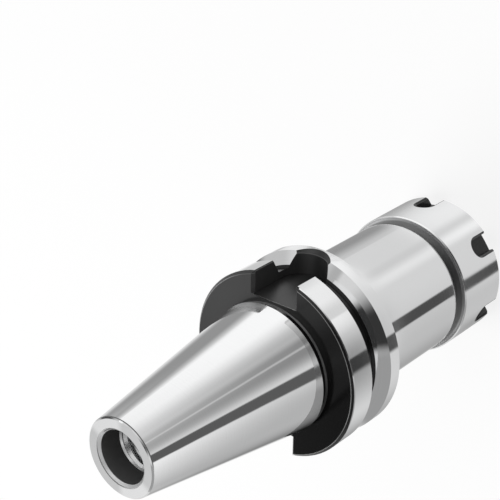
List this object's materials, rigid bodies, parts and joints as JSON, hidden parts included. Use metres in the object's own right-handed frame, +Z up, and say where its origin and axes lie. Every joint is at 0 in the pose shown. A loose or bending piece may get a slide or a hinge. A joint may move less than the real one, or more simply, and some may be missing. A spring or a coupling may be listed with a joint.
{
  "type": "collet chuck tool holder",
  "caption": "Milling tool holder: 7/24 taper shank, grooved flange with drive slots, plain neck, and a slotted nut that closes a spring collet on the tool.",
  "frame": {"origin": "centre of the clamping nut's flat face, on the spindle axis; the part stands on that face", "axes": "+Z up the spindle axis from the nut's face to the small end of the taper; +X through the middle of one drive slot"},
  "size_m": [0.063, 0.063, 0.1654],
  "materials": {
    "ground_steel": "hardened, ground bright, black oxide left in the recesses",
    "nut_steel": "ground bright, black oxide left in the spanner slots",
    "spring_steel": "finely ground spring steel"
  },
  "bodies": {
    "holder": {"holder_body": "ground_steel"},
    "collet": {"collet": "spring_steel"},
    "nut": {"clamping_nut": "nut_steel"}
  },
  "joints": [
    {"name": "collet_travel", "type": "slide", "parent": "holder", "child": "collet", "axis": [0, 0, -1], "range_m": [0, 0.0105]},
    {"name": "nut_turn", "type": "hinge", "parent": "collet", "child": "nut", "pos_m": [0, 0, 0.0125], "axis": [0, 0, -1], "range_deg": [0, 2520]}
  ],
  "couplings": [
    {"joint": "collet_travel", "follows": "nut_turn", "m_per_rad": 0.00023873}
  ]
}
